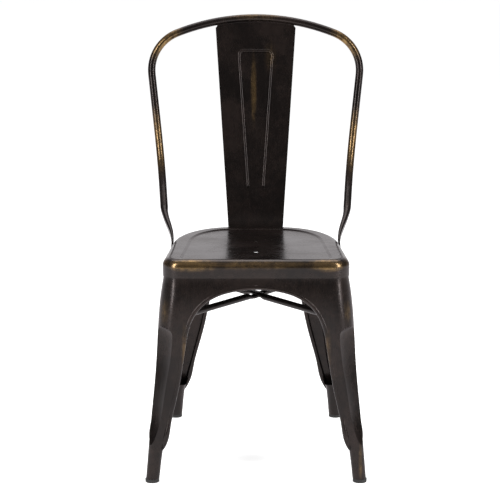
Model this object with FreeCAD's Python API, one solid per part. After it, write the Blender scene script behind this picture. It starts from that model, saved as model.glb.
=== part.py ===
import FreeCAD, Part
import math
import os

# Metal bistro chair, in millimetres. X runs across the chair, Y runs from the front
# to the back, Z runs up from the floor. Lengths along Y are first given from the line
# through the two front feet, and every piece is moved at the end so that the origin is
# below the middle of the whole chair.

# Sheet metal
SHEET = 1.2                  # wall of the seat, the legs and the slat
WELD_GAP = 0.3               # room left between two welded pieces

# Seat pan
SEAT_HEIGHT = 432.0          # top of the seat at its front edge
SEAT_DROP = 9.6              # how much lower the back edge is
SEAT_FRONT = 10.5            # front face of the skirt
SEAT_BACK = 402.0            # back face of the skirt
SEAT_FRONT_HALF = 180.7      # half width at the front, corners taken as sharp
SEAT_BACK_HALF = 154.9       # half width at the back, corners taken as sharp
SEAT_FRONT_CORNER = 40.0     # rounding of the front corners, seen from above
SEAT_BACK_CORNER_Y = 162.0   # back corner rounding, along the side
SEAT_BACK_CORNER_X = 109.0   # back corner rounding, along the back
SEAT_EDGE_RADIUS = 15.0      # rounded edge between the top and the skirt
SKIRT_DEPTH = 35.0           # height of the skirt below the seat top
PANEL_DEPTH = 2.2            # how deep the middle of the seat is pressed in
PANEL_FRONT_MARGIN = 17.0    # skirt to pressed panel, at the front
PANEL_SIDE_MARGIN = 33.0     # skirt to pressed panel, at the sides and the back
PANEL_FRONT_CORNER = 14.0    # corner rounding of the pressed panel, at the front
PANEL_SLOPE = 5.0            # width of the step around the pressed panel
HOLE_DIAMETER = 11.0         # drain holes
HOLE_CIRCLE = 58.0           # radius of the ring of holes around the middle one
HOLE_COUNT = 6               # holes in that ring
HOLE_FORWARD = 36.0          # middle hole, in front of the middle of the seat

# Legs: one pressed sheet each, with half of the two aprons beside it
FRONT_FOOT_HALF = 211.9      # outside of a front foot at the floor
BACK_FOOT_HALF = 181.4       # outside of a back foot at the floor
FOOT_SPACING = 459.4         # front foot to back foot, middle to middle
FOOT_DIAMETER = 25.2         # closed tube at the bottom of a leg
FOOT_FLAT = 0.2              # narrow flat left between the quarter rounds of that tube
FLARE_ABOVE_HEM = 3.0        # the legs begin to splay this far above the skirt's hem
HIP_BELOW_FLARE = 22.0
HIP_BULGE = 1.4              # outward swell of the leg at the hip
KNEE_BELOW_FLARE = 75.0
KNEE_BULGE = 3.3             # outward swell of the leg at the knee
SHIN_HEIGHT = 126.0
CALF_HEIGHT = 95.0
CLOSING_HEIGHT = 77.0        # the open channel closes into a tube below this
ANKLE_HEIGHT = 58.0
ANKLE_WIDTH = 27.6           # width of the leg at the ankle
CLOSING_WIDTH = 31.0         # width of the leg where the channel closes
CHANNEL_SPREAD = 0.66        # how fast the trimming line leaves the corner above that
LEG_OVERLAP = 14.0           # how far the leg reaches up behind the skirt
SKIRT_CLEARANCE = 0.4        # between the leg and the inside of the skirt
CHANNEL_OPENING = 8.0        # how far the hollow runs past the leg, so that it is open inside
INNER_CORNER = 4.0           # rounding of the leg's trimmed corners
SHIN_CORNER = 21.0           # rounding of the outer corner at the shin
CALF_CORNER = 16.0
KNEE_CORNER = 43.0
HIP_CORNER_FRONT = 42.0
HIP_CORNER_BACK = 84.0

# Wired edge of the arches
BEAD_RADIUS = 4.5            # the edge of the sheet is rolled around a wire
BEAD_PROUD = 1.3             # how far the bead stands out of the wall's outer face

# Arches: curves of the openings, measured to the inside of the bead
FRONT_ARCH_DROP = 57.4       # seat top to the crown of the arch
FRONT_ARCH_TOP_RADIUS = 216.0
FRONT_ARCH_SHOULDER = 94.0   # radius of the shoulder curve
FRONT_ARCH_LEG_ANGLE = 80.8  # steepness of the leg edge below the shoulder
BACK_ARCH_DROP = 60.5
BACK_ARCH_TOP_RADIUS = 130.0
BACK_ARCH_SHOULDER = 82.0
BACK_ARCH_LEG_ANGLE = 78.3
SIDE_ARCH_DROP = 60.0
SIDE_ARCH_TOP_RADIUS = 250.0
SIDE_ARCH_SHOULDER = 94.0
SIDE_ARCH_FRONT_LEG_ANGLE = 80.8
SIDE_ARCH_BACK_LEG_ANGLE = 75.9
THIGH_WIDTH = 57.0           # leg corner to bead below the shoulder, front and side walls
BACK_THIGH_WIDTH = 73.3      # the same on the back walls
THIGH_RUN = 97.0             # straight length of the leg edge below the shoulder
BEAD_TAIL = 16.0             # height over which the bead dies out on the ankle
BEAD_TAIL_RADIUS = 1.5
BEAD_TAIL_SINK = 6.0         # how far the tail turns in towards the back of the wall
BEAD_TAIL_TURN = 3.0         # how far the tail turns in along the wall

# Flute pressed into the outer corner of each leg
FLUTE_BOTTOM = 80.0
FLUTE_TOP_BELOW_FLARE = 89.0
FLUTE_OFFSET = 60.0          # axis of the flute's round, outside the sharp corner
FLUTE_BOTTOM_REACH = 5.0     # depth of the flute below the sharp corner, along its length
FLUTE_LOW_REACH = 15.4
FLUTE_MIDDLE_REACH = 20.6
FLUTE_HIGH_REACH = 25.4
FLUTE_TOP_REACH = 26.4
FLUTE_END_REACH = 13.0

# Floor glides
GLIDE_HEIGHT = 7.0
GLIDE_FLANGE = 0.9           # how far the glide stands proud of the foot
GLIDE_EDGE = 1.6
GLIDE_PLUG = 14.0            # length of the plug inside the foot
PLUG_ROOT = 1.0              # how deep the plug is rooted in the flange
PLUG_CLEARANCE = 0.3

# Cross brace under the seat
BRACE_DROP = 109.5           # seat top to the middle of the bars
BRACE_DIAMETER = 12.7
BRACE_WALL = 1.2
BRACE_INSET_X = 38.0         # where the bars meet the front legs, from the sharp corner
BRACE_INSET_Y = 4.0
BRACE_REACH = 30.0           # extra bar length, trimmed to the inside of the legs
BRACE_TAB_WIDTH = 17.0
BRACE_TAB_THICKNESS = 3.2
BRACE_TAB_LENGTH = 26.0
BRACE_TAPER = 24.0           # length over which a bar goes from round to flat
LAP_WIDTH = 15.6
LAP_HALF_LENGTH = 12.0
LAP_TAPER = 16.0
LAP_CLEARANCE = 0.1

# Back hoop
HOOP_RISE = 418.0            # seat top to the top of the chair
HOOP_DIAMETER = 15.6
HOOP_WALL = 1.2
HOOP_SETBACK = 42.3          # tube behind the seat, where it starts to sweep forward
HOOP_LEAN = 0.17             # backward lean, along Y for each unit of height
HOOP_TOP_RADIUS = 440.0      # curve of the top, in the leaning plane
HOOP_TOP_TURN = 21.6
HOOP_CORNER_RADIUS = 82.0
HOOP_SIDE_ANGLE = 96.1       # direction of the side runs, from the horizontal top
HOOP_SWEEP_RISE = 188.0      # seat top to where the hoop starts to sweep forward
HOOP_SWEEP_RADIUS = 200.0
HOOP_SWEEP_ANGLE = 48.0      # lean of the lower run from the vertical
HOOP_LOWER_RUN = 50.0        # round tube below the sweep
PADDLE_WIDTH = 22.0          # flattened end of the hoop
PADDLE_THICKNESS = 4.0
PADDLE_LENGTH = 30.0
PADDLE_SETIN = 140.0         # back edge of the seat to the paddle's root
PADDLE_STAGES = [(0.35, 0.62), (0.7, 0.3)]   # share of the way down, roundness left there

# Back slat
SLAT_TOP_HALF = 82.4         # half width at the top
SLAT_BOTTOM_HALF = 54.2      # half width at the seat
SLAT_TAB = 20.0              # flat part welded to the back of the skirt
SLAT_TAB_LIFT = 16.0         # seat top to the top of that tab
SLAT_SWEEP_RADIUS = 60.0
SLAT_SWEEP_ANGLE = 25.0      # lean of the sweeping part from the vertical
SLAT_BEND_RADIUS = 90.0
SLAT_TOP_CORNER = 4.0
RIB_TOP_DROP = 66.0          # middle of the hoop's top to the top of the pressed hairpin rib
RIB_BOTTOM_RISE = 71.0       # seat top to the lower ends of the rib
RIB_TOP_HALF = 34.8          # half width over the rib's middle line at its top
RIB_BOTTOM_HALF = 15.6
RIB_CORNER = 9.0
RIB_RADIUS = 4.4
RIB_SINK = 1.9               # depth of the rib's centre behind the front face

V = FreeCAD.Vector
UP = V(0, 0, 1)
SEAT_SLOPE = SEAT_DROP / (SEAT_BACK - SEAT_FRONT)
SEAT_TAPER = (SEAT_FRONT_HALF - SEAT_BACK_HALF) / (SEAT_BACK - SEAT_FRONT)
MIDDLE_Y = (SEAT_FRONT + SEAT_BACK) / 2
FLARE_HEIGHT = SEAT_HEIGHT - SKIRT_DEPTH + FLARE_ABOVE_HEM
HIP_HEIGHT = FLARE_HEIGHT - HIP_BELOW_FLARE
KNEE_HEIGHT = FLARE_HEIGHT - KNEE_BELOW_FLARE
FLUTE_TOP = FLARE_HEIGHT - FLUTE_TOP_BELOW_FLARE
BRACE_HEIGHT = SEAT_HEIGHT - BRACE_DROP
HOOP_AXIS_HEIGHT = SEAT_HEIGHT + HOOP_RISE - HOOP_DIAMETER / 2
HOOP_SWEEP_HEIGHT = SEAT_HEIGHT + HOOP_SWEEP_RISE
HOOP_TOP_Y = SEAT_BACK + HOOP_SETBACK + HOOP_LEAN * (HOOP_AXIS_HEIGHT - HOOP_SWEEP_HEIGHT)
PADDLE_Y = SEAT_BACK - PADDLE_SETIN
FRONT_FACE_FOOT = -FOOT_DIAMETER / 2
BACK_FACE_FOOT = FOOT_SPACING + FOOT_DIAMETER / 2
FOOT_TAPER = (FRONT_FOOT_HALF - BACK_FOOT_HALF) / FOOT_SPACING
FOOT_ROUNDING = FOOT_DIAMETER / 2 - FOOT_FLAT
LEAN_ANGLE = math.atan(HOOP_LEAN)

# Heights at which the section of a leg is set, and its inner roundings where they differ
STATIONS = [0.0, ANKLE_HEIGHT / 2, ANKLE_HEIGHT, CLOSING_HEIGHT, CALF_HEIGHT, SHIN_HEIGHT,
            (SHIN_HEIGHT + KNEE_HEIGHT) / 2, KNEE_HEIGHT, HIP_HEIGHT, FLARE_HEIGHT,
            FLARE_HEIGHT + LEG_OVERLAP, FLARE_HEIGHT + 2 * LEG_OVERLAP]
INNER_ROUNDING = {0.0: FOOT_ROUNDING, ANKLE_HEIGHT / 2: FOOT_ROUNDING,
                  ANKLE_HEIGHT: FOOT_ROUNDING, CLOSING_HEIGHT: FOOT_ROUNDING / 2}

# Aids for the construction
BIG = 600.0                  # longer than anything it has to cut
MARGIN = 20.0                # how far a cutting solid stands out of what it cuts
CONIC_WEIGHT = math.sqrt(0.5)
BEAD_POINTS = 3              # stretches in which the bead follows a long edge
LONG_EDGE = 60.0
ROUND_ENOUGH = 0.4           # width left over thickness where a flattened tube is round


def box(x0, x1, y0, y1, z0, z1):
    """An upright box between two corners."""
    return Part.makeBox(x1 - x0, y1 - y0, z1 - z0, V(x0, y0, z0))


def mirrored(shape):
    """The same shape on the other side of the chair."""
    return shape.mirror(V(0, 0, 0), V(1, 0, 0))


def seat_plane_height(y, drop=0.0):
    """Height of the sloping seat top, or of a plane parallel to it and lower by drop."""
    return SEAT_HEIGHT - drop - SEAT_SLOPE * (y - SEAT_FRONT)


def below_seat_plane(drop):
    """Everything under the plane that lies parallel to the seat top, lower by drop."""
    y0 = SEAT_FRONT - BIG
    y1 = SEAT_FRONT + BIG
    points = [V(-BIG, y0, -BIG), V(-BIG, y0, seat_plane_height(y0, drop)),
              V(-BIG, y1, seat_plane_height(y1, drop)), V(-BIG, y1, -BIG)]
    face = Part.Face(Part.makePolygon(points + points[:1]))
    return face.extrude(V(2 * BIG, 0, 0))


def corner_curve(start, corner, end):
    """A conic that rounds a corner: a circular or elliptical arc, tangent to both sides."""
    turn = (corner - start).getAngle(end - corner)
    curve = Part.BezierCurve()
    curve.setPoles([start, corner, end])
    curve.setWeight(2, math.cos(turn / 2))
    return curve.toShape()


def rounded_outline(corners):
    """A closed wire through (point, rounding before, rounding after) corners."""
    edges = []
    count = len(corners)
    for i, (point, before, after) in enumerate(corners):
        last = corners[i - 1][0]
        following, next_before, _ = corners[(i + 1) % count]
        towards_last = (last - point).normalize()
        towards_next = (following - point).normalize()
        start = point + towards_last * before
        end = point + towards_next * after
        edges.append(corner_curve(start, point, end))
        side_end = following - towards_next * next_before
        edges.append(Part.LineSegment(end, side_end).toShape())
    return Part.Wire(edges)


def seat_outline(inset, z, front_inset=None, front_corner=None):
    """Plan outline of the seat, moved in by an inset, at the height z."""
    front = SEAT_FRONT + (inset if front_inset is None else front_inset)
    back = SEAT_BACK - inset
    front_half = SEAT_FRONT_HALF - inset - SEAT_TAPER * (front - SEAT_FRONT)
    back_half = SEAT_FRONT_HALF - inset - SEAT_TAPER * (back - SEAT_FRONT)
    corner = SEAT_FRONT_CORNER - inset if front_corner is None else front_corner
    side = SEAT_BACK_CORNER_Y - inset
    across = SEAT_BACK_CORNER_X - inset
    return rounded_outline([
        (V(-front_half, front, z), corner, corner),
        (V(front_half, front, z), corner, corner),
        (V(back_half, back, z), side, across),
        (V(-back_half, back, z), across, side)])


def seat_shell(inset, edge_radius, top_drop):
    """Solid block of the seat, with its rounded top edge."""
    base = SEAT_HEIGHT - SKIRT_DEPTH - SEAT_DROP - MARGIN
    block = Part.Face(seat_outline(inset, base)).extrude(UP * (SEAT_HEIGHT + MARGIN - base))
    block = block.common(below_seat_plane(top_drop))
    highest = max(block.Faces, key=lambda face: face.CenterOfMass.z)
    return block.makeFillet(edge_radius, highest.Edges)


def panel_cutter(inset, drop):
    """Solid that is pressed into the middle of the seat, with sloping sides."""
    corner = PANEL_FRONT_CORNER - inset
    low = seat_outline(PANEL_SIDE_MARGIN + PANEL_SLOPE + inset, -PANEL_DEPTH,
                       PANEL_FRONT_MARGIN + PANEL_SLOPE + inset, corner)
    high = seat_outline(PANEL_SIDE_MARGIN - PANEL_SLOPE + inset, PANEL_DEPTH,
                        PANEL_FRONT_MARGIN - PANEL_SLOPE + inset, corner)
    cutter = Part.makeLoft([low, high], True, True)
    slope = math.degrees(math.atan(SEAT_SLOPE))
    cutter.rotate(V(0, SEAT_FRONT, 0), V(1, 0, 0), -slope)
    cutter.translate(V(0, 0, SEAT_HEIGHT - drop))
    return cutter


def seat_pan():
    """The pressed seat: rounded edge, skirt, sunken panel and drain holes."""
    outer = seat_shell(0, SEAT_EDGE_RADIUS, 0).cut(panel_cutter(0, 0))
    inner = seat_shell(SHEET, SEAT_EDGE_RADIUS - SHEET, SHEET).cut(panel_cutter(-SHEET / 2, SHEET))
    inner = inner.fuse(below_seat_plane(SKIRT_DEPTH))
    pan = outer.cut(inner)
    middle = V(0, MIDDLE_Y - HOLE_FORWARD, SEAT_HEIGHT - SKIRT_DEPTH)
    places = [middle]
    for i in range(HOLE_COUNT):
        angle = 2 * math.pi * i / HOLE_COUNT
        places.append(middle + V(math.sin(angle), math.cos(angle), 0) * HOLE_CIRCLE)
    for place in places:
        pan = pan.cut(Part.makeCylinder(HOLE_DIAMETER / 2, SKIRT_DEPTH + MARGIN, place))
    return pan


def splay(z):
    """Share of the legs' outward run that is reached at the height z."""
    return max(0.0, 1 - z / FLARE_HEIGHT)


def swell(z):
    """Outward swell of the leg beyond its straight splay."""
    return {HIP_HEIGHT: HIP_BULGE, KNEE_HEIGHT: KNEE_BULGE}.get(z, 0.0)


def sharp_corner(back, z):
    """Outer corner of the leg block at a station height, on the +X side."""
    inset = SHEET + SKIRT_CLEARANCE
    half_foot = FOOT_TAPER * FOOT_DIAMETER / 2
    if back:
        top = V(SEAT_BACK_HALF - inset + SEAT_TAPER * inset, SEAT_BACK - inset, z)
        floor = V(BACK_FOOT_HALF - half_foot, BACK_FACE_FOOT, z)
        outward = V(1, 1, 0)
    else:
        top = V(SEAT_FRONT_HALF - inset - SEAT_TAPER * inset, SEAT_FRONT + inset, z)
        floor = V(FRONT_FOOT_HALF + half_foot, FRONT_FACE_FOOT, z)
        outward = V(1, -1, 0)
    return top + (floor - top) * splay(z) + outward * swell(z)


def leg_width(z):
    """Width of the leg block along either wall at a station height."""
    if z <= ANKLE_HEIGHT:
        return FOOT_DIAMETER + (ANKLE_WIDTH - FOOT_DIAMETER) * z / ANKLE_HEIGHT
    return CLOSING_WIDTH + CHANNEL_SPREAD * (z - CLOSING_HEIGHT)


def corner_rounding(back, z):
    """Rounding of the outer corner, along the side and along the front or back wall."""
    middle = (SHIN_CORNER + KNEE_CORNER) / 2
    inset = SHEET + SKIRT_CLEARANCE
    if z <= CLOSING_HEIGHT:
        return FOOT_ROUNDING, FOOT_ROUNDING
    if z >= FLARE_HEIGHT:
        if back:
            return SEAT_BACK_CORNER_Y - inset, SEAT_BACK_CORNER_X - inset
        return SEAT_FRONT_CORNER - inset, SEAT_FRONT_CORNER - inset
    hip = HIP_CORNER_BACK if back else HIP_CORNER_FRONT
    rounding = {CALF_HEIGHT: CALF_CORNER, SHIN_HEIGHT: SHIN_CORNER, KNEE_HEIGHT: KNEE_CORNER,
                HIP_HEIGHT: hip}.get(z, middle)
    return rounding, rounding


def leg_section(back, z, inset, channel):
    """Corners of a leg block's outline at a station, moved in by an inset.

    Each corner is given as (start of its rounding, sharp point, end of its rounding). The
    channel value widens the outline towards the middle of the chair."""
    corner = sharp_corner(back, z)
    along_side = (sharp_corner(not back, z) - corner).normalize()
    across = V(-1, 0, 0)
    corner = corner + along_side * inset + across * inset
    closed = z <= ANKLE_HEIGHT
    width = leg_width(z) - (2 * inset if closed else inset)
    width += 0 if z <= CLOSING_HEIGHT else channel
    side_rounding, across_rounding = corner_rounding(back, z)
    small = INNER_ROUNDING.get(z, INNER_CORNER) - (inset if closed else 0)
    far = corner + across * width
    inner = far + along_side * width
    near = corner + along_side * width
    return [(corner + along_side * (side_rounding - inset), corner,
             corner + across * (across_rounding - inset)),
            (far - across * small, far, far + along_side * small),
            (inner - along_side * small, inner, inner - across * small),
            (near + across * small, near, near - along_side * small)]


def smooth_curve(points, parameters):
    """Smooth curve through points, each reached at its own parameter."""
    curve = Part.BSplineCurve()
    curve.interpolate(Points=points, Parameters=parameters)
    return curve


def smooth_face(curves, weights):
    """Face between curves: flat across two of them, a rounded corner across three."""
    degree = len(curves) - 1
    first = curves[0]
    surface = Part.BSplineSurface()
    surface.buildFromPolesMultsKnots(
        [curve.getPoles() for curve in curves],
        [degree + 1, degree + 1], first.getMultiplicities(),
        [0, 1], first.getKnots(), False, False, degree, first.Degree,
        [[weight] * first.NbPoles for weight in weights])
    return surface.toShape()


def cap(section):
    """Flat end face of a skinned solid."""
    edges = []
    for i, (start, middle, end) in enumerate(section):
        curve = Part.BezierCurve()
        curve.setPoles([start, middle, end])
        curve.setWeight(2, CONIC_WEIGHT)
        edges.append(curve.toShape())
        following = section[(i + 1) % len(section)][0]
        if end.distanceToPoint(following) > 1e-6:
            edges.append(Part.LineSegment(end, following).toShape())
    return Part.Face(Part.Wire(edges))


def skin(sections, parameters):
    """Solid skinned over sections of rounded corners, smooth along its length."""
    corners = [[smooth_curve([section[i][j] for section in sections], parameters)
                for j in range(3)] for i in range(4)]
    faces = [cap(sections[0]), cap(sections[-1])]
    for i, (start, middle, end) in enumerate(corners):
        following = corners[(i + 1) % 4][0]
        faces.append(smooth_face([start, middle, end], [1, CONIC_WEIGHT, 1]))
        if end.StartPoint.distanceToPoint(following.StartPoint) > 1e-6:
            faces.append(smooth_face([end, following], [1, 1]))
    shell = Part.makeShell(faces)
    shell.sewShape()
    solid = Part.Solid(Part.Shell(shell.Faces))
    if solid.Volume < 0:
        solid.reverse()
    return solid


def leg_block(back, inset, channel):
    """Solid block that a leg is cut from, on the +X side."""
    return skin([leg_section(back, z, inset, channel) for z in STATIONS], STATIONS)


def corner_line(back):
    """Curve through the sharp outer corners, read by height."""
    return smooth_curve([sharp_corner(back, z) for z in STATIONS], STATIONS)


def turning_path(height, pieces):
    """Half of an arch from its top middle, as (across, height) edges.

    Each piece is (radius, angle reached) for an arc or (None, length) for a straight run."""
    position = V(0, height, 0)
    angle = 0.0
    edges = []
    for radius, amount in pieces:
        if radius is None:
            step = V(math.cos(angle), -math.sin(angle), 0) * amount
            edges.append(Part.LineSegment(position, position + step).toShape())
            position = position + step
            continue
        target = math.radians(amount)
        sign = 1 if target > angle else -1
        centre = position + V(-math.sin(angle), -math.cos(angle), 0) * (radius * sign)
        middle_angle = (angle + target) / 2
        middle = centre + V(math.sin(middle_angle), math.cos(middle_angle), 0) * (radius * sign)
        end = centre + V(math.sin(target), math.cos(target), 0) * (radius * sign)
        edges.append(Part.Arc(position, middle, end).toShape())
        position = end
        angle = target
    return edges


ARCHES = {
    "front": (FRONT_ARCH_DROP, FRONT_ARCH_TOP_RADIUS, FRONT_ARCH_SHOULDER,
              FRONT_ARCH_LEG_ANGLE, THIGH_WIDTH),
    "back": (BACK_ARCH_DROP, BACK_ARCH_TOP_RADIUS, BACK_ARCH_SHOULDER,
             BACK_ARCH_LEG_ANGLE, BACK_THIGH_WIDTH),
    "side of front leg": (SIDE_ARCH_DROP, SIDE_ARCH_TOP_RADIUS, SIDE_ARCH_SHOULDER,
                          SIDE_ARCH_FRONT_LEG_ANGLE, THIGH_WIDTH),
    "side of back leg": (SIDE_ARCH_DROP, SIDE_ARCH_TOP_RADIUS, SIDE_ARCH_SHOULDER,
                         SIDE_ARCH_BACK_LEG_ANGLE, THIGH_WIDTH),
}


def arch_name(back, side):
    """Which arch borders a wall of a leg."""
    if side:
        return "side of back leg" if back else "side of front leg"
    return "back" if back else "front"


def wall_width(back, side, z):
    """Distance from the middle of an arch to the sharp corner of the leg, at a height."""
    corner = corner_line(back).value(z)
    return abs(corner.y - MIDDLE_Y) if side else corner.x


def arch_edges(back, side):
    """Middle line of the bead of half an arch, in (across, height), down to the ankle."""
    drop, top_radius, shoulder, leg_angle, thigh_width = ARCHES[arch_name(back, side)]
    top_radius += BEAD_RADIUS
    shoulder += BEAD_RADIUS
    crown = SEAT_HEIGHT - drop + BEAD_RADIUS
    steep = math.radians(leg_angle)
    shoulder_height = crown - shoulder
    across = wall_width(back, side, shoulder_height) - thigh_width
    top_turn = math.asin((across - shoulder * math.sin(steep)) / (top_radius - shoulder))
    edges = turning_path(crown, [(top_radius, math.degrees(top_turn)), (shoulder, leg_angle),
                                 (None, THIGH_RUN)])
    end = edges[-1].Vertexes[-1].Point
    ankle = V(wall_width(back, side, CLOSING_HEIGHT) - CLOSING_WIDTH, CLOSING_HEIGHT, 0)
    edges.append(Part.LineSegment(end, ankle).toShape())
    return edges, (end.y - ankle.y) / (ankle.x - end.x)


def arch_cutter(back, side, across, depth):
    """Prism that opens half an arch. across is the wall's own direction, depth goes through it."""
    edges, _ = arch_edges(back, side)
    first = edges[0].Vertexes[0].Point
    last = edges[-1].Vertexes[-1].Point
    inboard = last.x - 2 * BEAD_RADIUS
    points = [last, V(inboard, last.y - BEAD_RADIUS, 0), V(inboard, -BEAD_RADIUS, 0),
              V(-BIG, -BEAD_RADIUS, 0), V(-BIG, first.y, 0), first]
    for i in range(len(points) - 1):
        edges.append(Part.LineSegment(points[i], points[i + 1]).toShape())
    face = Part.Face(Part.Wire(edges))
    normal = across.cross(UP)
    matrix = FreeCAD.Matrix(across.x, 0, normal.x, 0,
                            across.y, 0, normal.y, 0,
                            0, 1, 0, 0)
    face = face.transformGeometry(matrix)
    return face.extrude(depth)


def wall_point(back, side, across, z):
    """Middle of the bead in a wall, behind the wall's outer face, on the +X side."""
    corner = corner_line(back).value(z)
    depth = BEAD_RADIUS - BEAD_PROUD
    if not side:
        return V(across, corner.y + (-depth if back else depth), z)
    other = corner_line(not back).value(z)
    y = MIDDLE_Y + (across if back else -across)
    share = (y - corner.y) / (other.y - corner.y)
    return V(corner.x + (other.x - corner.x) * share - depth, y, z)


def round_rod(points, flat_normal, radii):
    """Round rod through points that lie near a plane with the given normal."""
    lengths = [0.0]
    for before, after in zip(points[:-1], points[1:]):
        lengths.append(lengths[-1] + before.distanceToPoint(after))
    middle_line = smooth_curve(points, lengths)
    sections = []
    for place, length, radius in zip(points, lengths, radii):
        along = middle_line.tangent(length)[0]
        a = (flat_normal - along * flat_normal.dot(along)).normalize() * radius
        b = along.cross(a)
        sections.append([(place + a, place + a + b, place + b),
                         (place + b, place + b - a, place - a),
                         (place - a, place - a - b, place - b),
                         (place - b, place - b + a, place + a)])
    return skin(sections, lengths)


def bead(back, side):
    """Wired edge of half an arch, from the middle of the apron to the ankle."""
    edges, steepness = arch_edges(back, side)
    points = []
    for edge in edges:
        count = BEAD_POINTS if edge.Length > LONG_EDGE else 1
        points.extend(edge.discretize(count + 1)[1 if points else 0:])
    path = [wall_point(back, side, point.x, point.y) for point in points]
    radii = [BEAD_RADIUS] * len(path)
    normal = V(1, 0, 0) if side else V(0, 1 if back else -1, 0)
    for share in (0.5, 1.0):
        turned = share ** 2
        drop = share * BEAD_TAIL
        across = points[-1].x + drop / steepness + turned * BEAD_TAIL_TURN
        tail = wall_point(back, side, across, CLOSING_HEIGHT - drop)
        path.append(tail - normal * (turned * BEAD_TAIL_SINK))
        radii.append(BEAD_RADIUS + share * (BEAD_TAIL_RADIUS - BEAD_RADIUS))
    return round_rod(path, normal, radii)


def flute(back, extra):
    """Round solid that is pressed into the outer corner of a leg as a long flute."""
    diagonal = V(1, 1 if back else -1, 0).normalize()
    curve = corner_line(back)
    low = curve.value(FLUTE_BOTTOM) + diagonal * FLUTE_OFFSET
    high = curve.value(FLUTE_TOP) + diagonal * FLUTE_OFFSET
    axis = (high - low).normalize()
    length = (high - low).Length
    towards = (diagonal - axis * diagonal.dot(axis)).normalize() * -1
    shares = [(0, FLUTE_BOTTOM_REACH), (0.2, FLUTE_LOW_REACH), (0.45, FLUTE_MIDDLE_REACH),
              (0.7, FLUTE_HIGH_REACH), (0.88, FLUTE_TOP_REACH), (0.96, 0.9 * FLUTE_TOP_REACH),
              (1, FLUTE_END_REACH)]
    points = [low + axis * (share * length) + towards * (FLUTE_OFFSET + reach + extra)
              for share, reach in shares]
    profile = Part.BSplineCurve()
    profile.interpolate(points)
    edges = [profile.toShape(),
             Part.LineSegment(points[-1], high).toShape(),
             Part.LineSegment(high, low).toShape(),
             Part.LineSegment(low, points[0]).toShape()]
    face = Part.Face(Part.Wire(edges))
    return face.revolve(low, axis, 360)


def leg_cavity(back, inset):
    """Hollow of a leg, open towards the middle of the chair above the ankle."""
    return leg_block(back, inset, CHANNEL_OPENING).cut(flute(back, inset))


def leg(back):
    """One leg with its half aprons, on the +X side."""
    y0 = MIDDLE_Y if back else -BIG
    y1 = BIG + MIDDLE_Y if back else MIDDLE_Y
    quarter = box(0, BIG, y0, y1, GLIDE_HEIGHT, SEAT_HEIGHT + MARGIN)
    shell = leg_block(back, 0, 0).common(quarter)
    shell = shell.common(below_seat_plane(SKIRT_DEPTH - LEG_OVERLAP))
    front_cut = arch_cutter(back, False, V(1, 0, 0), V(0, 1, 0) * BIG)
    front_cut.translate(V(0, MIDDLE_Y + MARGIN if back else MIDDLE_Y - MARGIN - BIG, 0))
    shell = shell.cut(front_cut)
    side_cut = arch_cutter(back, True, V(0, 1 if back else -1, 0), V(1, 0, 0) * BIG)
    side_cut.translate(V(0, MIDDLE_Y, 0))
    shell = shell.cut(side_cut)
    shell = shell.cut(flute(back, 0)).cut(leg_cavity(back, SHEET))
    for side in (False, True):
        rod = bead(back, side).common(quarter)
        shell = shell.fuse(rod)
    return shell.removeSplitter()


def glide(back):
    """Rubber glide under a foot, with the plug that holds it."""
    along_side = (sharp_corner(not back, 0.0) - sharp_corner(back, 0.0)).normalize()
    centre = sharp_corner(back, 0.0) + (along_side + V(-1, 0, 0)) * (FOOT_DIAMETER / 2)
    flange = Part.makeCylinder(FOOT_DIAMETER / 2 + GLIDE_FLANGE, GLIDE_HEIGHT, centre)
    rim = min(flange.Edges, key=lambda edge: edge.BoundBox.ZMax)
    flange = flange.makeFillet(GLIDE_EDGE, [rim])
    plug = leg_block(back, SHEET + PLUG_CLEARANCE, 0)
    plug = plug.common(box(-BIG, BIG, -BIG, 2 * BIG, GLIDE_HEIGHT - PLUG_ROOT,
                           GLIDE_HEIGHT + GLIDE_PLUG))
    return flange.fuse(plug).removeSplitter()


def frame(place, along, across):
    """Matrix that carries (x, y, z) to across, thickness and along directions at a place."""
    thin = along.cross(across)
    return FreeCAD.Matrix(across.x, thin.x, along.x, place.x,
                          across.y, thin.y, along.y, place.y,
                          across.z, thin.z, along.z, place.z)


def flat_section(width, thickness, lift=0.0):
    """Outline of a flattened tube: two rounded ends and two flats, as four edges."""
    half = (width - thickness) / 2
    r = thickness / 2
    right = Part.Arc(V(half, lift - r, 0), V(half + r, lift, 0), V(half, lift + r, 0)).toShape()
    top = Part.LineSegment(V(half, lift + r, 0), V(-half, lift + r, 0)).toShape()
    left = Part.Arc(V(-half, lift + r, 0), V(-half - r, lift, 0), V(-half, lift - r, 0)).toShape()
    bottom = Part.LineSegment(V(-half, lift - r, 0), V(half, lift - r, 0)).toShape()
    return Part.Wire([right, top, left, bottom])


def round_section(radius):
    """Outline of a round tube as four quarter arcs that match a flattened section."""
    edges = []
    for quarter in range(4):
        angles = [math.radians(-45 + 90 * quarter + 45 * i) for i in range(3)]
        points = [V(radius * math.cos(a), radius * math.sin(a), 0) for a in angles]
        edges.append(Part.Arc(*points).toShape())
    return Part.Wire(edges)


def placed(wire, matrix):
    """A section carried to its place."""
    copy = wire.copy()
    copy.Placement = FreeCAD.Placement(matrix)
    return copy


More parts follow.
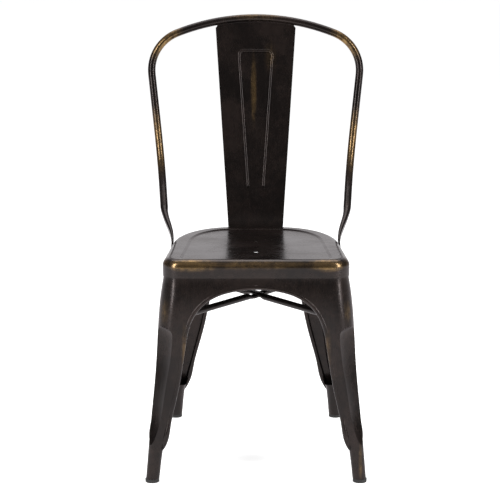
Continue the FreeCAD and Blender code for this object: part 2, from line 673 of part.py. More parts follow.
def brace_bar(to_right, lap_sign, inset):
    """One bar of the cross brace, from a front leg to the back leg across from it."""
    centre = V(0, MIDDLE_Y, BRACE_HEIGHT)
    corner = corner_line(False).value(BRACE_HEIGHT)
    half = corner.x - BRACE_INSET_X
    front = V(-half if to_right else half, corner.y + BRACE_INSET_Y, BRACE_HEIGHT)
    along = (centre - front).normalize()
    across = UP.cross(along)
    reach = (centre - front).Length + BRACE_REACH
    radius = BRACE_DIAMETER / 2 - inset
    tab = flat_section(BRACE_TAB_WIDTH - 2 * inset, BRACE_TAB_THICKNESS - 2 * inset)
    lap_thickness = BRACE_DIAMETER / 2 - LAP_CLEARANCE
    lift = lap_sign * (lap_thickness + LAP_CLEARANCE) / 2
    lap = flat_section(LAP_WIDTH - 2 * inset, lap_thickness - 2 * inset, lift)
    ring = round_section(radius)
    tab_start = reach - BRACE_REACH - BRACE_TAB_LENGTH
    stages = [(-reach, tab), (-tab_start, tab), (-tab_start + BRACE_TAPER, ring),
              (-LAP_HALF_LENGTH - LAP_TAPER, ring), (-LAP_HALF_LENGTH, lap),
              (LAP_HALF_LENGTH, lap), (LAP_HALF_LENGTH + LAP_TAPER, ring),
              (tab_start - BRACE_TAPER, ring), (tab_start, tab), (reach, tab)]
    bar = None
    for (s0, first), (s1, second) in zip(stages[:-1], stages[1:]):
        wires = [placed(first, frame(centre + along * s0, along, across)),
                 placed(second, frame(centre + along * s1, along, across))]
        piece = Part.makeLoft(wires, True, True)
        bar = piece if bar is None else bar.fuse(piece)
    return bar


def cross_bar(to_right, lap_sign):
    """A hollow bar with flattened ends, trimmed to the inside of the two legs."""
    bar = brace_bar(to_right, lap_sign, 0)
    for back in (False, True):
        wall = leg_block(back, -MARGIN, 0).cut(leg_cavity(back, SHEET + WELD_GAP))
        wall = wall.common(box(0, BIG, -BIG, 2 * BIG, BRACE_HEIGHT - MARGIN, BRACE_HEIGHT + MARGIN))
        if back != to_right:
            wall = mirrored(wall)
        bar = max(bar.cut(wall).Solids, key=lambda solid: solid.Volume)
    return bar.cut(brace_bar(to_right, lap_sign, BRACE_WALL))


def up_the_lean():
    """Direction that runs up the leaning plane of the back."""
    return V(0, HOOP_LEAN, 1).normalize()


def hoop_path():
    """Middle line of half the hoop on the +X side, and where and how it ends."""
    lean = up_the_lean()
    top = V(0, HOOP_TOP_Y, HOOP_AXIS_HEIGHT)
    side_angle = HOOP_SIDE_ANGLE
    bends = [(HOOP_TOP_RADIUS, HOOP_TOP_TURN), (HOOP_CORNER_RADIUS, side_angle)]
    bent_drop = -turning_path(0, bends)[-1].Vertexes[-1].Point.y
    side_drop = (HOOP_AXIS_HEIGHT - HOOP_SWEEP_HEIGHT) / lean.z - bent_drop
    flat = turning_path(0, bends + [(None, side_drop / math.sin(math.radians(side_angle)))])
    edges = []
    for edge in flat:
        ends = [edge.valueAt(edge.FirstParameter), edge.valueAt(edge.LastParameter)]
        middle = edge.valueAt((edge.FirstParameter + edge.LastParameter) / 2)
        points = [top + V(p.x, 0, 0) + lean * p.y for p in (ends[0], middle, ends[1])]
        if (points[1] - points[0]).cross(points[2] - points[1]).Length < 1e-6:
            edges.append(Part.LineSegment(points[0], points[2]).toShape())
        else:
            edges.append(Part.Arc(*points).toShape())
    turn = math.radians(side_angle)
    down = (V(math.cos(turn), 0, 0) - lean * math.sin(turn)).normalize()
    start = edges[-1].Vertexes[-1].Point
    forward = V(0, -1, 0)
    plane_normal = down.cross(forward).normalize()
    centre_side = plane_normal.cross(down).normalize()
    sweep = math.radians(HOOP_SWEEP_ANGLE) - LEAN_ANGLE

    def swept(angle):
        """Point of the sweeping arc after it has turned by an angle."""
        return (start + down * (HOOP_SWEEP_RADIUS * math.sin(angle))
                + centre_side * (HOOP_SWEEP_RADIUS * (1 - math.cos(angle))))

    edges.append(Part.Arc(start, swept(sweep / 2), swept(sweep)).toShape())
    direction = down * math.cos(sweep) + centre_side * math.sin(sweep)
    elbow = swept(sweep)
    end = elbow + direction * HOOP_LOWER_RUN
    edges.append(Part.LineSegment(elbow, end).toShape())
    return edges, end, direction


def skirt_side_x(y):
    """Half width of the skirt at y, where it has its straight side."""
    return SEAT_FRONT_HALF - SEAT_TAPER * (y - SEAT_FRONT)


def hoop_end(inset):
    """The hoop's end on the +X side: round to flat, bent in and laid on the skirt."""
    _, start, direction = hoop_path()
    ring = round_section(HOOP_DIAMETER / 2 - inset)
    drop = math.radians(HOOP_SWEEP_ANGLE)
    final = V(SEAT_TAPER * math.sin(drop), -math.sin(drop), -math.cos(drop)).normalize()
    flat_direction = V(0, math.cos(drop), -math.sin(drop))
    stand_off = WELD_GAP + PADDLE_THICKNESS / 2
    root_z = seat_plane_height(PADDLE_Y) - SEAT_EDGE_RADIUS
    root = V(skirt_side_x(PADDLE_Y) + stand_off, PADDLE_Y, root_z)
    stages = [(start, direction, ring)]
    handle = (root - start).Length / 3
    for share, fullness in PADDLE_STAGES:
        a, b = 1 - share, share
        point = (start * (a ** 3) + (start + direction * handle) * (3 * a * a * b)
                 + (root - final * handle) * (3 * a * b * b) + root * (b ** 3))
        tangent = (direction * a + final * b).normalize()
        thick = PADDLE_THICKNESS + (HOOP_DIAMETER - PADDLE_THICKNESS) * fullness
        wide = PADDLE_WIDTH + (HOOP_DIAMETER + ROUND_ENOUGH - PADDLE_WIDTH) * fullness
        stages.append((point, tangent, flat_section(wide - 2 * inset, thick - 2 * inset)))
    blade = flat_section(PADDLE_WIDTH - 2 * inset, PADDLE_THICKNESS - 2 * inset)
    stages.append((root, final, blade))
    wires = []
    for place, along, section in stages:
        across = (flat_direction - along * flat_direction.dot(along)).normalize()
        wires.append(placed(section, frame(place, along, across)))
    bend = Part.makeLoft(wires, True, False)
    along = final
    across = (flat_direction - along * flat_direction.dot(along)).normalize()
    last = placed(blade, frame(root, along, across))
    flat_end = Part.Face(last).extrude(final * PADDLE_LENGTH)
    return bend.fuse(flat_end)


def hoop_half(inset):
    """Half of the hoop as a solid rod, thinner by an inset."""
    edges, _, _ = hoop_path()
    path = Part.Wire(edges)
    start = edges[0].Vertexes[0].Point
    ring = Part.Wire([Part.makeCircle(HOOP_DIAMETER / 2 - inset, start, V(1, 0, 0))])
    rod = path.makePipeShell([ring], True, False)
    return rod.fuse(hoop_end(inset))


def back_hoop():
    """The bent tube that forms the back."""
    half = hoop_half(0).cut(hoop_half(HOOP_WALL))
    return half.fuse(mirrored(half)).removeSplitter()


def slat_profile(offset):
    """Side line of the slat from its welded tab up to the hoop, moved back by an offset."""
    y = SEAT_BACK + WELD_GAP + offset
    z_tab = seat_plane_height(SEAT_BACK) - SLAT_TAB_LIFT
    sweep = math.radians(SLAT_SWEEP_ANGLE)
    first_radius = SLAT_SWEEP_RADIUS - offset
    second_radius = SLAT_BEND_RADIUS + offset
    start = V(0, y, z_tab - SLAT_TAB)
    a = V(0, y, z_tab)

    def rise(origin, radius, angle_from, angle_to, back):
        """Point reached by an arc that turns between two leans."""
        sign = 1 if back else -1
        dy = sign * radius * (math.cos(angle_from) - math.cos(angle_to))
        dz = sign * radius * (math.sin(angle_to) - math.sin(angle_from))
        return origin + V(0, dy, dz)

    b = rise(a, first_radius, 0, sweep, True)
    b_middle = rise(a, first_radius, 0, sweep / 2, True)
    lean_y = HOOP_TOP_Y + (offset - SHEET / 2) / math.cos(LEAN_ANGLE)
    top_z = HOOP_AXIS_HEIGHT
    along = V(0, math.sin(sweep), math.cos(sweep))
    turn_dy = second_radius * (math.cos(LEAN_ANGLE) - math.cos(sweep))
    turn_dz = second_radius * (math.sin(sweep) - math.sin(LEAN_ANGLE))
    run = ((lean_y - HOOP_LEAN * (top_z - b.z - turn_dz)) - b.y - turn_dy) / (
        math.sin(sweep) - HOOP_LEAN * math.cos(sweep))
    c = b + along * run
    half_lean = (sweep + LEAN_ANGLE) / 2
    d = rise(c, second_radius, sweep, LEAN_ANGLE, False)
    d_middle = rise(c, second_radius, sweep, half_lean, False)
    top = V(0, lean_y, top_z)
    return [Part.LineSegment(start, a), Part.Arc(a, b_middle, b), Part.LineSegment(b, c),
            Part.Arc(c, d_middle, d), Part.LineSegment(d, top)]


def slat_outline():
    """Front outline of the slat: tapered, with its top cut to follow the hoop's tube."""
    bottom = seat_plane_height(SEAT_BACK) - SLAT_TAB_LIFT - SLAT_TAB
    radius = HOOP_TOP_RADIUS - HOOP_DIAMETER / 2 - WELD_GAP
    crown = HOOP_AXIS_HEIGHT - (HOOP_DIAMETER / 2 + WELD_GAP) * math.cos(LEAN_ANGLE)
    edge_drop = radius - math.sqrt(radius ** 2 - SLAT_TOP_HALF ** 2)
    shoulder = crown - edge_drop * math.cos(LEAN_ANGLE)
    corner = SLAT_TOP_CORNER
    middle = V(0, 0, crown)
    right_top = V(SLAT_TOP_HALF - corner, 0, shoulder + corner * SLAT_TOP_HALF / radius)
    taper = (SLAT_TOP_HALF - SLAT_BOTTOM_HALF) / (shoulder - bottom)
    right_side = V(SLAT_TOP_HALF - corner * taper, 0, shoulder - corner)
    right_low = V(SLAT_BOTTOM_HALF, 0, bottom)

    def left(point):
        """The same point on the other side."""
        return V(-point.x, 0, point.z)

    edges = [Part.Arc(right_top, middle, left(right_top)).toShape(),
             Part.LineSegment(left(right_top), left(right_side)).toShape(),
             Part.LineSegment(left(right_side), left(right_low)).toShape(),
             Part.LineSegment(left(right_low), right_low).toShape(),
             Part.LineSegment(right_low, right_side).toShape(),
             Part.LineSegment(right_side, right_top).toShape()]
    return Part.Face(Part.Wire(edges)).extrude(V(0, 2 * BIG, 0))


def rib_path(depth):
    """Hairpin line of the pressed rib, at a depth behind the slat's front face."""
    top_z = HOOP_AXIS_HEIGHT
    back = V(0, math.cos(LEAN_ANGLE), -math.sin(LEAN_ANGLE)) * (depth - SHEET / 2)

    def on_face(x, z):
        """Point on the slat's leaning face."""
        return V(x, HOOP_TOP_Y - HOOP_LEAN * (top_z - z), z) + back

    rib_top = HOOP_AXIS_HEIGHT - RIB_TOP_DROP
    rib_bottom = SEAT_HEIGHT + RIB_BOTTOM_RISE
    low_left = on_face(-RIB_BOTTOM_HALF, rib_bottom)
    high_left = on_face(-RIB_TOP_HALF, rib_top)
    high_right = on_face(RIB_TOP_HALF, rib_top)
    low_right = on_face(RIB_BOTTOM_HALF, rib_bottom)
    up = (high_left - low_left).normalize()
    down = (low_right - high_right).normalize()
    over = V(1, 0, 0)
    turn = up.getAngle(over)
    reach = RIB_CORNER * math.tan(turn / 2)

    def bend(corner, arriving, leaving):
        """Arc of the rib's corner, tangent to both runs."""
        start = corner - arriving * reach
        end = corner + leaving * reach
        inward = (leaving - arriving).normalize()
        gap = RIB_CORNER / math.cos(turn / 2) - RIB_CORNER
        return start, corner + inward * gap, end

    left_bend = bend(high_left, up, over)
    right_bend = bend(high_right, over, down)
    edges = [Part.LineSegment(low_left, left_bend[0]).toShape(),
             Part.Arc(*left_bend).toShape(),
             Part.LineSegment(left_bend[2], right_bend[0]).toShape(),
             Part.Arc(*right_bend).toShape(),
             Part.LineSegment(right_bend[2], low_right).toShape()]
    return edges, low_left, low_right, up


def rib_rod(radius):
    """Round rod along the hairpin with ball ends."""
    edges, low_left, low_right, up = rib_path(RIB_SINK)
    ring = Part.Wire([Part.makeCircle(radius, low_left, up)])
    rod = Part.Wire(edges).makePipeShell([ring], True, False)
    for end in (low_left, low_right):
        rod = rod.fuse(Part.makeSphere(radius, end))
    return rod


def back_slat():
    """The tapered slat with its pressed hairpin rib."""
    front = slat_profile(0)
    rear = slat_profile(SHEET)
    ends = [Part.LineSegment(front[-1].EndPoint, rear[-1].EndPoint),
            Part.LineSegment(rear[0].StartPoint, front[0].StartPoint)]
    edges = [piece.toShape() for piece in front + ends + rear]
    ribbon = Part.Face(Part.Wire(Part.__sortEdges__(edges)))
    ribbon.translate(V(-SLAT_TOP_HALF - MARGIN, 0, 0))
    sheet = ribbon.extrude(V(2 * (SLAT_TOP_HALF + MARGIN), 0, 0)).common(slat_outline())
    normal = V(0, -math.cos(LEAN_ANGLE), math.sin(LEAN_ANGLE))
    top = V(0, HOOP_TOP_Y, HOOP_AXIS_HEIGHT)
    back_face = top - normal * (SHEET / 2)
    slab = Part.makeBox(2 * BIG, 2 * BIG, BIG, V(-BIG, -BIG, 0))
    slab.Placement = FreeCAD.Placement(back_face, FreeCAD.Rotation(UP, normal))
    pressed = rib_rod(RIB_RADIUS).common(slab)
    sheet = sheet.fuse(pressed).cut(rib_rod(RIB_RADIUS - SHEET))
    return sheet.removeSplitter()


def build():
    """All pieces by name."""
    pieces = {"seat_pan": seat_pan()}
    for back, row in ((False, "front"), (True, "back")):
        right_leg = leg(back)
        right_glide = glide(back)
        pieces[row + "_right_leg"] = right_leg
        pieces[row + "_left_leg"] = mirrored(right_leg)
        pieces[row + "_right_glide"] = right_glide
        pieces[row + "_left_glide"] = mirrored(right_glide)
    pieces["brace_bar_lower"] = cross_bar(True, -1)
    pieces["brace_bar_upper"] = cross_bar(False, 1)
    pieces["back_hoop"] = back_hoop()
    pieces["back_slat"] = back_slat()
    return pieces


def main():
    """Build the chair, centre it over the origin and write each piece."""
    os.makedirs("parts", exist_ok=True)
    pieces = build()
    boxes = [piece.optimalBoundingBox(False, False) for piece in pieces.values()]
    front_edge = min(extent.YMin for extent in boxes)
    back_edge = max(extent.YMax for extent in boxes)
    shift = V(0, -(front_edge + back_edge) / 2, 0)
    for name, piece in pieces.items():
        piece.translate(shift)
        piece.exportStep("parts/" + name + ".step")
        print(name, "solids", len(piece.Solids), "valid", piece.isValid(),
              "volume %.0f" % piece.Volume)
    print("shift along Y %.2f" % shift.y)


main()
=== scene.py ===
"""Looks of a metal bistro chair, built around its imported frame. All lengths are in metres."""
import logging
import math
from dataclasses import dataclass, field
from enum import Enum

import bpy
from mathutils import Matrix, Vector


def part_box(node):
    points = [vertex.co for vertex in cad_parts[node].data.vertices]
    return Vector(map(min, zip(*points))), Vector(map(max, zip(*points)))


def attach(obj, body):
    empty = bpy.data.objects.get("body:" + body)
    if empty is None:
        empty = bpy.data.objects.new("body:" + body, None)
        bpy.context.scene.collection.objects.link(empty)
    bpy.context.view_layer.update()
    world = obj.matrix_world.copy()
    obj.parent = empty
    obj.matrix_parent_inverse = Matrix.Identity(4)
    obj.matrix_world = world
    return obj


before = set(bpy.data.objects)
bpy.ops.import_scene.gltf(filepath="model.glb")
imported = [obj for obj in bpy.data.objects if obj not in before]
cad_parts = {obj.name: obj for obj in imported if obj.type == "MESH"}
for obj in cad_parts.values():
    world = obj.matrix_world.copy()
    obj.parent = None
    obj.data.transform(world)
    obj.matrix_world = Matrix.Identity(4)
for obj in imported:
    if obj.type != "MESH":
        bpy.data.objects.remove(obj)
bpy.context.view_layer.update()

Colour = tuple[float, float, float]
Place = tuple[float, float, float]
WHITE: Colour = (1.0, 1.0, 1.0)
log = logging.getLogger("bistro_chair")


class Side(Enum):
    """Left or right of the chair, seen from the front."""

    LEFT = -1
    RIGHT = 1


class Row(Enum):
    """Front or back feet."""

    FRONT = "front"
    BACK = "back"


class Grain(Enum):
    """Direction of the brush marks in a finish, as how fast they change along X, Y and Z."""

    UPRIGHT = (260.0, 260.0, 14.0)
    ACROSS = (16.0, 240.0, 240.0)
    LENGTHWISE = (240.0, 16.0, 240.0)


class Graph:
    """Adds shader nodes to one node tree and links them."""

    PER_ROW = 8
    SPACING = (220.0, 180.0)
    NOISE_MIDDLE = (0.3, 0.7)
    RELIEF_DEPTH = 0.0002

    def __init__(self, tree: bpy.types.NodeTree) -> None:
        """Start from an empty tree.

        Args:
            tree: node tree of a material, a world or a lamp.
        """
        self.tree = tree
        tree.nodes.clear()

    def add(self, kind: str, **settings: object) -> bpy.types.Node:
        """Add one node.

        Args:
            kind: type name of the node.
            settings: properties that are set on the node.

        Returns:
            The new node.
        """
        node = self.tree.nodes.new(kind)
        row, column = divmod(len(self.tree.nodes), self.PER_ROW)
        node.location = (self.SPACING[0] * column, -self.SPACING[1] * row)
        for name, value in settings.items():
            setattr(node, name, value)
        return node

    def feed(self, socket: bpy.types.NodeSocket, value: object) -> None:
        """Link a socket to another node's output, or set it to a plain value.

        Args:
            socket: the input that is fed.
            value: an output socket, a number, a colour or a vector.
        """
        if isinstance(value, bpy.types.NodeSocket):
            self.tree.links.new(value, socket)
        elif isinstance(value, tuple) and len(value) == 3 and socket.type == "RGBA":
            socket.default_value = (*value, 1.0)
        else:
            socket.default_value = value

    def calc(self, operation: str, first: object,
             second: object = 0.0) -> bpy.types.NodeSocket:
        """Calculate with two numbers.

        Args:
            operation: name of the operation, such as ADD.
            first: first number or output.
            second: second number or output.

        Returns:
            Output with the result.
        """
        node = self.add("ShaderNodeMath", operation=operation)
        self.feed(node.inputs[0], first)
        self.feed(node.inputs[1], second)
        return node.outputs[0]

    def vector(self, operation: str, first: object, second: object) -> bpy.types.Node:
        """Calculate with two vectors.

        Args:
            operation: name of the operation, such as SUBTRACT.
            first: first vector or output.
            second: second vector or output.

        Returns:
            The node, because a length comes from another output than a vector.
        """
        node = self.add("ShaderNodeVectorMath", operation=operation)
        self.feed(node.inputs[0], first)
        self.feed(node.inputs[1], second)
        return node

    def noise(self, place: bpy.types.NodeSocket, scale: float, detail: float = 3.0,
              roughness: float = 0.55) -> bpy.types.NodeSocket:
        """Add a noise pattern.

        Args:
            place: coordinates that the pattern is read at.
            scale: how fine the pattern is.
            detail: octaves of the pattern.
            roughness: weight of the finer octaves.

        Returns:
            Output between 0 and 1.
        """
        node = self.add("ShaderNodeTexNoise")
        self.feed(node.inputs["Vector"], place)
        node.inputs["Scale"].default_value = scale
        node.inputs["Detail"].default_value = detail
        node.inputs["Roughness"].default_value = roughness
        return node.outputs[0]

    def ramp(self, value: object, low: float, high: float, start: float = 0.0,
             end: float = 1.0) -> bpy.types.NodeSocket:
        """Carry one range smoothly to another.

        Args:
            value: number or output that is carried over.
            low: value that gives start.
            high: value that gives end.
            start: result at low and below.
            end: result at high and above.

        Returns:
            Output with the result.
        """
        node = self.add("ShaderNodeMapRange", interpolation_type="SMOOTHSTEP")
        self.feed(node.inputs[0], value)
        for socket, number in zip(node.inputs[1:5], (low, high, start, end)):
            socket.default_value = number
        return node.outputs[0]

    def swing(self, pattern: bpy.types.NodeSocket, start: float,
              end: float) -> bpy.types.NodeSocket:
        """Carry the middle of a noise pattern, where most of it lies, to another range.

        Args:
            pattern: output of the noise.
            start: result for the dark parts of the pattern.
            end: result for its bright parts.

        Returns:
            Output with the result.
        """
        return self.ramp(pattern, *self.NOISE_MIDDLE, start, end)

    def blend(self, share: object, first: object, second: object) -> bpy.types.NodeSocket:
        """Mix two colours.

        Args:
            share: share of the second colour.
            first: colour at 0.
            second: colour at 1.

        Returns:
            Output with the mixed colour.
        """
        node = self.add("ShaderNodeMix", data_type="RGBA")
        self.feed(node.inputs[0], share)
        self.feed(node.inputs[6], first)
        self.feed(node.inputs[7], second)
        return node.outputs[2]

    def mirrored(self, path: bpy.types.Node) -> bpy.types.NodeSocket:
        """Pick out the rays that come from a mirroring or a clear surface.

        Args:
            path: the Light Path node.

        Returns:
            Output that is 1 for those rays.
        """
        return self.calc("MAXIMUM", path.outputs["Is Glossy Ray"],
                         path.outputs["Is Transmission Ray"])

    def relief(self, shader: bpy.types.Node, height: bpy.types.NodeSocket,
               strength: float) -> None:
        """Give a shader a fine bump.

        Args:
            shader: the shader whose normal is bumped.
            height: pattern that the bump follows.
            strength: strength of the bump.
        """
        bump = self.add("ShaderNodeBump")
        bump.inputs["Strength"].default_value = strength
        bump.inputs["Distance"].default_value = self.RELIEF_DEPTH
        self.feed(bump.inputs["Height"], height)
        self.feed(shader.inputs["Normal"], bump.outputs[0])

    def close(self, shader: bpy.types.Node, kind: str = "ShaderNodeOutputMaterial") -> None:
        """Lead a shader to the tree's output.

        Args:
            shader: the last shader.
            kind: type name of the output node.
        """
        self.feed(self.add(kind).inputs[0], shader.outputs[0])


def new_material(name: str) -> tuple[bpy.types.Material, Graph]:
    """Start a material.

    Args:
        name: name of the material.

    Returns:
        The material and the empty graph of its nodes.
    """
    made = bpy.data.materials.new(name)
    made.use_nodes = True
    return made, Graph(made.node_tree)


@dataclass(frozen=True)
class WearAndHighlightSpot:
    """A place where a finish shows copper: rubbed-through wear at some spots, a painted highlight
    at others, and both at once at a few.
    """

    centre: Place
    reach: Place
    strength: float
    both_sides: bool = True
    core: float = 0.15

    def mask(self, graph: Graph, place: bpy.types.NodeSocket,
             folded: bpy.types.NodeSocket) -> bpy.types.NodeSocket:
        """Add the mask of this spot.

        Args:
            graph: the graph that the nodes go in.
            place: coordinates on the object.
            folded: the same with X made positive, for a spot on both sides.

        Returns:
            Output with the strength in the spot's core, that falls to 0 at its reach.
        """
        away = graph.vector("SUBTRACT", folded if self.both_sides else place, self.centre)
        scaled = graph.vector("DIVIDE", away.outputs[0], self.reach)
        length = graph.vector("LENGTH", scaled.outputs[0], (0.0, 0.0, 0.0))
        return graph.ramp(length.outputs["Value"], self.core, 1.0, self.strength, 0.0)


@dataclass(frozen=True)
class BronzeFinish:
    """Dark bronze lacquer over metal, clouded, finely grained and rubbed to the copper, with copper
    also painted in as highlights at some spots.
    """

    name: str
    ground: Colour = (0.0120, 0.0094, 0.0086)
    cloud: Colour = (0.025, 0.0175, 0.0150)
    cloud_share: float = 0.65
    cloud_range: tuple[float, float] = (0.38, 0.66)
    copper: Colour = (0.31, 0.195, 0.082)
    copper_shade: float = 0.55
    mirror_tint: Colour = (0.50, 0.45, 0.47)
    mirror_level: float = 0.45
    metallic: float = 0.6
    bare_metallic: float = 0.95
    roughness: float = 0.25
    coat: float = 0.16
    coat_roughness: float = 0.20
    cloud_scale: float = 11.0
    patch_scale: float = 95.0
    speck_scale: float = 2100.0
    streak_break: float = 0.22
    patch_break: float = 0.25
    full_copper: float = 1.05
    relief: float = 0.10
    grain: Grain = Grain.UPRIGHT
    spots: tuple[WearAndHighlightSpot, ...] = ()

    def wear_and_highlight(self, graph: Graph, place: bpy.types.NodeSocket, streak: bpy.types.NodeSocket,
             patch: bpy.types.NodeSocket) -> bpy.types.NodeSocket | float:
        """Mask of the copper: rubbed-through wear, and painted highlights at some spots.

        Args:
            graph: the graph that the nodes go in.
            place: coordinates on the object.
            streak: brush marks.
            patch: patches of a few millimetres.

        Returns:
            Output with the mask, or 0 for a finish without spots.
        """
        if not self.spots:
            return 0.0
        parts = graph.add("ShaderNodeSeparateXYZ")
        graph.feed(parts.inputs[0], place)
        folded = graph.add("ShaderNodeCombineXYZ")
        graph.feed(folded.inputs[0], graph.calc("ABSOLUTE", parts.outputs[0]))
        graph.feed(folded.inputs[1], parts.outputs[1])
        graph.feed(folded.inputs[2], parts.outputs[2])
        total: bpy.types.NodeSocket | float = 0.0
        for spot in self.spots:
            total = graph.calc("MAXIMUM", total, spot.mask(graph, place, folded.outputs[0]))
        marks = graph.calc("ADD", graph.swing(streak, -self.streak_break, self.streak_break),
                           graph.swing(patch, -self.patch_break, self.patch_break))
        broken = graph.calc("MULTIPLY", total, graph.calc("ADD", 1.0, marks))
        return graph.ramp(broken, 0.0, self.full_copper)

    def material(self) -> bpy.types.Material:
        """Build the material.

        Returns:
            The new material.
        """
        made, graph = new_material(self.name)
        place = graph.add("ShaderNodeTexCoord").outputs["Object"]
        clouds = graph.noise(place, self.cloud_scale, 5.0, 0.6)
        patch = graph.noise(place, self.patch_scale, 4.0, 0.6)
        speck = graph.noise(place, self.speck_scale, 2.0)
        stretched = graph.vector("MULTIPLY", place, self.grain.value)
        streak = graph.noise(stretched.outputs[0], 1.0, 3.0, 0.6)
        # Copper shows where this mask is high: rubbed wear, and painted highlights at some spots.
        wear_and_highlight_mask = self.wear_and_highlight(graph, place, streak, patch)
        mottled = graph.calc("ADD", graph.calc("MULTIPLY", clouds, self.cloud_share),
                             graph.calc("MULTIPLY", patch, 1.0 - self.cloud_share))
        dark = graph.blend(graph.ramp(mottled, *self.cloud_range), self.ground, self.cloud)
        shaded = tuple(self.copper_shade * part for part in self.copper)
        lustre = graph.blend(patch, shaded, self.copper)
        shader = graph.add("ShaderNodeBsdfPrincipled")
        graph.feed(shader.inputs["Base Color"], graph.blend(wear_and_highlight_mask, dark, lustre))
        metallic = (graph.ramp(wear_and_highlight_mask, 0.0, 1.0, self.metallic, self.bare_metallic)
                    if self.spots else self.metallic)
        graph.feed(shader.inputs["Metallic"], metallic)
        uneven = graph.calc("ADD", graph.swing(clouds, -0.05, 0.06),
                            graph.swing(streak, -0.03, 0.04))
        graph.feed(shader.inputs["Roughness"], graph.calc("ADD", uneven, self.roughness))
        graph.feed(shader.inputs["Specular IOR Level"], self.mirror_level)
        graph.feed(shader.inputs["Specular Tint"], self.mirror_tint)
        graph.feed(shader.inputs["Coat Weight"], self.coat)
        graph.feed(shader.inputs["Coat Roughness"], self.coat_roughness)
        grain = graph.calc("ADD", graph.calc("MULTIPLY", speck, 0.5),
                           graph.calc("MULTIPLY", streak, 0.6))
        graph.relief(shader, grain, self.relief)
        graph.close(shader)
        return made


@dataclass(frozen=True)
class RubberFinish:
    """Black moulded rubber, dusty near the floor."""

    name: str = "glide_rubber"
    colour: Colour = (0.016, 0.015, 0.0145)
    dust: Colour = (0.07, 0.064, 0.058)
    dust_height: float = 0.004
    dust_level: float = 0.8
    grain_scale: float = 900.0
    relief: float = 0.35

    def material(self) -> bpy.types.Material:
        """Build the material.

        Returns:
            The new material.
        """
        made, graph = new_material(self.name)
        place = graph.add("ShaderNodeTexCoord").outputs["Object"]
        parts = graph.add("ShaderNodeSeparateXYZ")
        graph.feed(parts.inputs[0], place)
        fine = graph.noise(place, self.grain_scale, 4.0, 0.65)
        low = graph.ramp(parts.outputs[2], 0.0, self.dust_height, self.dust_level, 0.0)
        shader = graph.add("ShaderNodeBsdfPrincipled")
        graph.feed(shader.inputs["Base Color"],
                   graph.blend(graph.calc("MULTIPLY", low, fine), self.colour, self.dust))
        graph.feed(shader.inputs["Roughness"], graph.swing(fine, 0.55, 0.75))
        graph.relief(shader, fine, self.relief)
        graph.close(shader)
        return made


def dress(name: str, material: bpy.types.Material) -> bpy.types.Object:
    """Give a frame node a material.

    Args:
        name: name of the node.
        material: its material.

    Returns:
        The node's object.
    """
    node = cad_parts[name]
    if not node.material_slots:
        node.data.materials.append(material)
    for slot in node.material_slots:
        slot.material = material
    log.info("dressed %s with %s", name, material.name)
    return node


@dataclass
class Seat:
    """The pressed seat pan."""

    edge_drop: float = 0.009
    edge_reach: float = 0.026
    edge_depth: float = 0.017
    line_depth: float = 0.012

    def finish(self) -> BronzeFinish:
        """Finish of the seat, rubbed to copper along its rounded front edge; on the front corners
        and the side rims that copper is also a painted highlight.
        """
        low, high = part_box("seat_pan")
        front, edge = low.y, high.z - self.edge_drop
        return BronzeFinish("seat_bronze", coat=0.25, grain=Grain.ACROSS, spots=(
            # The two corner spots and the side rim spot are rubbed copper and painted highlight
            # together.
            WearAndHighlightSpot((-0.125, front, edge), (0.085, self.edge_reach, self.edge_depth), 0.74, False),
            WearAndHighlightSpot((0.138, front, edge), (0.060, self.edge_reach, self.edge_depth), 0.68, False),
            WearAndHighlightSpot((0.000, front, edge), (0.190, self.edge_reach, self.line_depth), 0.42, False),
            WearAndHighlightSpot((0.170, front + 0.05, edge), (0.018, 0.080, self.line_depth), 0.40),
        ))

    def build(self) -> None:
        """Dress the seat."""
        dress("seat_pan", self.finish().material())


@dataclass
class Legs:
    """The four pressed legs with their half aprons."""

    knee_height: float = 0.338
    knee_half: float = 0.182
    foot_half: float = 0.200
    foot_height: float = 0.045
    apron_half: float = 0.100
    apron_height: float = 0.345
    arch_half: float = 0.136
    arch_height: float = 0.250

    def finish(self) -> BronzeFinish:
        """Finish of the legs, rubbed at the knees and a foot; the copper on the beads of the aprons
        and the arch edges is rubbed copper and painted highlight together.
        """
        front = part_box("front_right_leg")[0].y
        return BronzeFinish("leg_bronze", spots=(
            WearAndHighlightSpot((self.knee_half, front + 0.012, self.knee_height), (0.022, 0.034, 0.048), 0.75),
            WearAndHighlightSpot((self.foot_half, front, self.foot_height), (0.006, 0.02, 0.060), 0.35, False),
            # The apron and arch spots on the beads are rubbed copper and painted highlight
            # together.
            WearAndHighlightSpot((self.apron_half, front, self.apron_height), (0.030, 0.012, 0.020), 0.30),
            WearAndHighlightSpot((self.arch_half, front + 0.02, self.arch_height), (0.010, 0.020, 0.090), 0.30),
        ))

    def build(self) -> None:
        """Dress the legs."""
        material = self.finish().material()
        for row in Row:
            for side in Side:
                dress(f"{row.value}_{side.name.lower()}_leg", material)


@dataclass
class Hoop:
    """The bent tube of the back."""

    corner_half: float = 0.192
    corner_height: float = 0.800
    limb_half: float = 0.206
    limb_height: float = 0.585
    limb_ahead: float = 0.045
    tube_radius: float = 0.008

    def finish(self) -> BronzeFinish:
        """Finish of the hoop, rubbed on its bends and its straight limbs; along its top the copper
        is rubbed copper and painted highlight together.
        """
        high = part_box("back_hoop")[1]
        back = high.y - self.tube_radius
        limb = (self.limb_half, back - self.limb_ahead, self.limb_height)
        return BronzeFinish("hoop_bronze", roughness=0.24, spots=(
            WearAndHighlightSpot((self.corner_half, back, self.corner_height), (0.060, 0.060, 0.065), 0.72),
            # The top spot is rubbed copper and a painted highlight along the tube's top together.
            WearAndHighlightSpot((0.0, back, high.z), (0.110, 0.050, 0.016), 0.30),
            WearAndHighlightSpot(limb, (0.050, 0.090, 0.105), 0.62),
        ))

    def build(self) -> None:
        """Dress the hoop."""
        dress("back_hoop", self.finish().material())


